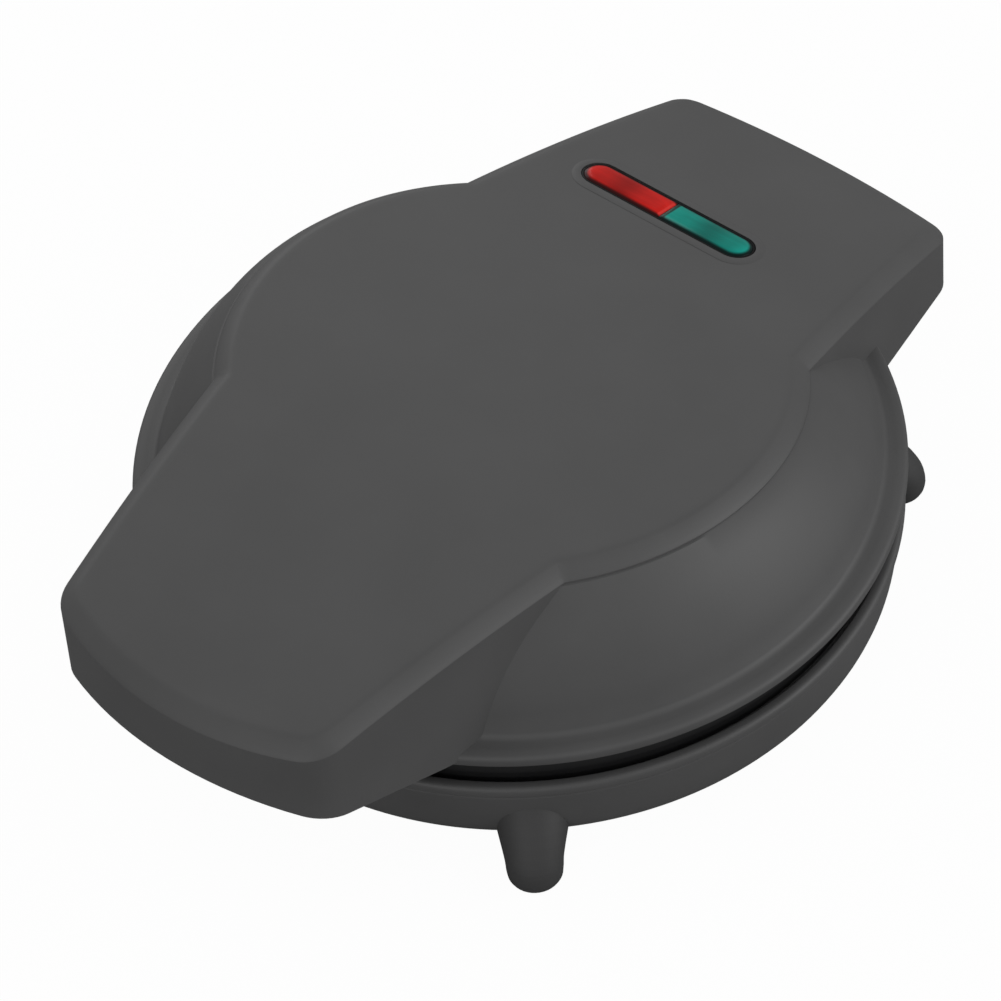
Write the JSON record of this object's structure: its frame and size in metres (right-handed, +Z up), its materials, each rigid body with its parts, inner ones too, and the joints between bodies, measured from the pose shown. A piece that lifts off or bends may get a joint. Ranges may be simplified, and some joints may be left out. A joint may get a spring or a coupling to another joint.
{
  "type": "mini donut maker",
  "caption": "Round countertop mini donut maker: domed lid with grip and indicator lights, hinged at the rear over a bowl on splayed feet.",
  "frame": {"origin": "middle of the part's box at table height", "axes": "+Y towards the rear hinge, -Y towards the handle, +Z up, +X to the right seen from the front"},
  "size_m": [0.2, 0.2659, 0.085],
  "materials": {
    "grey_plastic": "matt",
    "black_plastic": "satin",
    "rubber": "matt",
    "red_lens": "gloss",
    "green_lens": "gloss",
    "coated_aluminium": "satin",
    "steel": "satin",
    "heater_steel": "satin",
    "shield_steel": "satin",
    "ceramic": "matt",
    "lamp_glass": "gloss",
    "wire_sleeve": "matt"
  },
  "bodies": {
    "base": {"base_shell": "grey_plastic", "foot_pads": "rubber", "bottom_cover": "grey_plastic", "bottom_screws": "steel", "lower_plate": "coated_aluminium", "lower_plate_screws": "steel", "lower_heater": "heater_steel", "lower_heat_shield": "shield_steel", "terminal_block": "ceramic", "base_wires": "wire_sleeve", "cord_inlet": "black_plastic"},
    "lid": {"lid_shell": "grey_plastic", "handle_cover": "grey_plastic", "handle_screws": "steel", "light_frame": "black_plastic", "red_lens": "red_lens", "green_lens": "green_lens", "lamp_holder": "ceramic", "indicator_lamps": "lamp_glass", "upper_plate": "coated_aluminium", "upper_plate_screws": "steel", "upper_heater": "heater_steel", "upper_heat_shield": "shield_steel", "thermostat": "ceramic", "thermal_fuse": "ceramic", "lid_wires": "wire_sleeve", "hinge_pins": "steel"}
  },
  "joints": [
    {"name": "lid_hinge", "type": "hinge", "parent": "base", "child": "lid", "pos_m": [0, 0.115, 0.041], "axis": [-1, 0, 0], "range_deg": [0, 100]}
  ]
}
